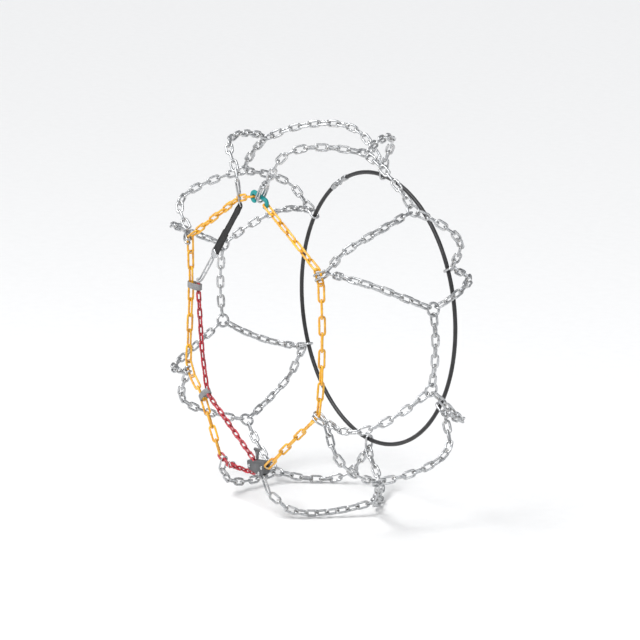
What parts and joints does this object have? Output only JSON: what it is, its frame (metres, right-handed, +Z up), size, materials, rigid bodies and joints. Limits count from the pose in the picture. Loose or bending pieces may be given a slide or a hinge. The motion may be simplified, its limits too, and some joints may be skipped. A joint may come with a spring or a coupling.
{
  "type": "tire snow chain",
  "caption": "Diamond-pattern snow chain in the shape it holds on a car tyre: tread net, side chain with closing hook, inner hoop, and a ratchet tensioner with strap.",
  "frame": {"origin": "centre of the wheel that the chain is fitted on, halfway across the tyre", "axes": "+Y along the axle towards the car, -Y towards the street, +Z up, +X to the right as seen from the street side"},
  "size_m": [0.6518, 0.2657, 0.617],
  "materials": {
    "zinc_steel": "bright zinc plated steel wire, smooth with slight wear",
    "side_chain_yellow": "golden yellow enamel on steel links, satin gloss",
    "tension_chain_red": "crimson enamel on steel links, satin gloss",
    "closing_hook_teal": "teal plastic coating over a steel hook",
    "tensioner_grey": "dark grey moulded plastic, fine grain",
    "guide_grey": "mid grey soft plastic",
    "strap_rubber": "black ribbed rubber",
    "hoop_cover": "steel cable in a thin black plastic sleeve"
  },
  "bodies": {
    "chain_net": {"centre_chain_1_2": "zinc_steel", "centre_chain_2_3": "zinc_steel", "centre_chain_3_4": "zinc_steel", "centre_chain_4_5": "zinc_steel", "centre_chain_5_6": "zinc_steel", "centre_chain_6_1": "zinc_steel", "closing_bow": "zinc_steel", "hoop_eye": "zinc_steel", "hoop_hook": "zinc_steel", "inner_cross_chain_1": "zinc_steel", "inner_cross_chain_2": "zinc_steel", "inner_cross_chain_3": "zinc_steel", "inner_cross_chain_4": "zinc_steel", "inner_cross_chain_5": "zinc_steel", "inner_cross_chain_6": "zinc_steel", "inner_hoop": "hoop_cover", "left_end_hook": "zinc_steel", "lower_left_link": "zinc_steel", "outer_cross_chain_2": "zinc_steel", "outer_cross_chain_3": "zinc_steel", "outer_cross_chain_5": "zinc_steel", "outer_cross_chain_6": "zinc_steel", "outer_cross_chain_bottom_left": "zinc_steel", "outer_cross_chain_bottom_right": "zinc_steel", "outer_cross_chain_top_left": "zinc_steel", "outer_cross_chain_top_right": "zinc_steel", "pawl_spring": "zinc_steel", "rivet_left": "zinc_steel", "rivet_lower": "zinc_steel", "rivet_right": "zinc_steel", "side_chain_left": "side_chain_yellow", "side_chain_right": "side_chain_yellow", "side_connector_2": "zinc_steel", "side_connector_3": "zinc_steel", "side_connector_5": "zinc_steel", "side_connector_6": "zinc_steel", "tension_chain": "tension_chain_red", "tensioner_back_plate": "tensioner_grey", "tensioner_front_cover": "tensioner_grey", "tensioner_hook": "zinc_steel"},
    "closing_hook_lever": {"closing_hook": "closing_hook_teal"},
    "strap": {"elastic_strap": "strap_rubber"},
    "strap_hook_wire": {"strap_hook": "zinc_steel"},
    "upper_guide_clip": {"upper_guide": "guide_grey"},
    "lower_guide_clip": {"lower_guide": "guide_grey"},
    "knob": {"release_knob": "tensioner_grey"},
    "pawl": {"locking_pawl": "zinc_steel"},
    "wheel": {"chain_wheel": "zinc_steel"},
    "ring_1a": {"tread_ring_1a": "zinc_steel"},
    "ring_1b": {"tread_ring_1b": "zinc_steel"},
    "ring_2a": {"tread_ring_2a": "zinc_steel"},
    "ring_2b": {"tread_ring_2b": "zinc_steel"},
    "ring_3a": {"tread_ring_3a": "zinc_steel"},
    "ring_3b": {"tread_ring_3b": "zinc_steel"},
    "ring_4a": {"tread_ring_4a": "zinc_steel"},
    "ring_4b": {"tread_ring_4b": "zinc_steel"},
    "ring_5a": {"tread_ring_5a": "zinc_steel"},
    "ring_5b": {"tread_ring_5b": "zinc_steel"},
    "ring_6a": {"tread_ring_6a": "zinc_steel"},
    "ring_6b": {"tread_ring_6b": "zinc_steel"}
  },
  "joints": [
    {"name": "closing_hook_turn", "type": "hinge", "parent": "chain_net", "child": "closing_hook_lever", "pos_m": [0.0335, -0.1216, 0.205], "axis": [0, 1, 0], "range_deg": [0, 20]},
    {"name": "strap_swing", "type": "hinge", "parent": "chain_net", "child": "strap", "pos_m": [-0.0425, -0.1216, 0.188], "axis": [-0.7643, 0, 0.6449], "range_deg": [0, 90]},
    {"name": "strap_hook_swing", "type": "hinge", "parent": "strap", "child": "strap_hook_wire", "pos_m": [-0.1251, -0.1216, 0.0893], "axis": [-0.7575, 0, 0.6528], "range_deg": [0, 80]},
    {"name": "upper_guide_slide", "type": "slide", "parent": "chain_net", "child": "upper_guide_clip", "axis": [0.0303, 0, 0.9995], "range_m": [-0.003, 0.003]},
    {"name": "lower_guide_slide", "type": "slide", "parent": "chain_net", "child": "lower_guide_clip", "axis": [-0.6424, 0, 0.7664], "range_m": [-0.002, 0.001]},
    {"name": "release_knob_pull", "type": "slide", "parent": "chain_net", "child": "knob", "axis": [0, 0, 1], "range_m": [0, 0.0035], "stiffness_N_per_m": 250, "springref_m": -0.002},
    {"name": "locking_pawl_lift", "type": "hinge", "parent": "chain_net", "child": "pawl", "pos_m": [0.0043, -0.121, -0.2357], "axis": [0, -1, 0], "range_deg": [0, 9], "deforming": ["pawl_spring"]},
    {"name": "chain_wheel_spin", "type": "hinge", "parent": "chain_net", "child": "wheel", "pos_m": [0.015, -0.121, -0.2378], "axis": [0, 1, 0], "continuous": true},
    {"name": "tread_ring_1a_spin", "type": "hinge", "parent": "chain_net", "child": "ring_1a", "pos_m": [-0.16507, 0.01, 0.27472], "axis": [-0.515, 0, 0.8572], "continuous": true},
    {"name": "tread_ring_1b_spin", "type": "hinge", "parent": "chain_net", "child": "ring_1b", "pos_m": [0.13291, 0.004, 0.29164], "axis": [0.4147, 0, 0.91], "continuous": true},
    {"name": "tread_ring_2a_spin", "type": "hinge", "parent": "chain_net", "child": "ring_2a", "pos_m": [0.24004, 0.027, 0.21237], "axis": [0.749, 0, 0.6626], "continuous": true},
    {"name": "tread_ring_2b_spin", "type": "hinge", "parent": "chain_net", "child": "ring_2b", "pos_m": [0.3135, 0.017, 0.06664], "axis": [0.9781, 0, 0.2079], "continuous": true},
    {"name": "tread_ring_3a_spin", "type": "hinge", "parent": "chain_net", "child": "ring_3a", "pos_m": [0.31407, 0.015, -0.0639], "axis": [0.9799, 0, -0.1994], "continuous": true},
    {"name": "tread_ring_3b_spin", "type": "hinge", "parent": "chain_net", "child": "ring_3b", "pos_m": [0.22264, -0.02, -0.23055], "axis": [0.6947, 0, -0.7193], "continuous": true},
    {"name": "tread_ring_4a_spin", "type": "hinge", "parent": "chain_net", "child": "ring_4a", "pos_m": [0.13545, 0.027, -0.29047], "axis": [0.4226, 0, -0.9063], "continuous": true},
    {"name": "tread_ring_4b_spin", "type": "hinge", "parent": "chain_net", "child": "ring_4b", "pos_m": [-0.1278, 0.01, -0.29392], "axis": [-0.3987, 0, -0.9171], "continuous": true},
    {"name": "tread_ring_5a_spin", "type": "hinge", "parent": "chain_net", "child": "ring_5a", "pos_m": [-0.2286, 0.012, -0.22464], "axis": [-0.7133, 0, -0.7009], "continuous": true},
    {"name": "tread_ring_5b_spin", "type": "hinge", "parent": "chain_net", "child": "ring_5b", "pos_m": [-0.3135, 0.016, -0.06664], "axis": [-0.9781, 0, -0.2079], "continuous": true},
    {"name": "tread_ring_6a_spin", "type": "hinge", "parent": "chain_net", "child": "ring_6a", "pos_m": [-0.3135, 0.016, 0.06664], "axis": [-0.9781, 0, 0.2079], "continuous": true},
    {"name": "tread_ring_6b_spin", "type": "hinge", "parent": "chain_net", "child": "ring_6b", "pos_m": [-0.24552, 0.012, 0.20601], "axis": [-0.766, 0, 0.6428], "continuous": true}
  ],
  "couplings": [
    {"joint": "locking_pawl_lift", "follows": "release_knob_pull", "rad_per_m": 40}
  ]
}
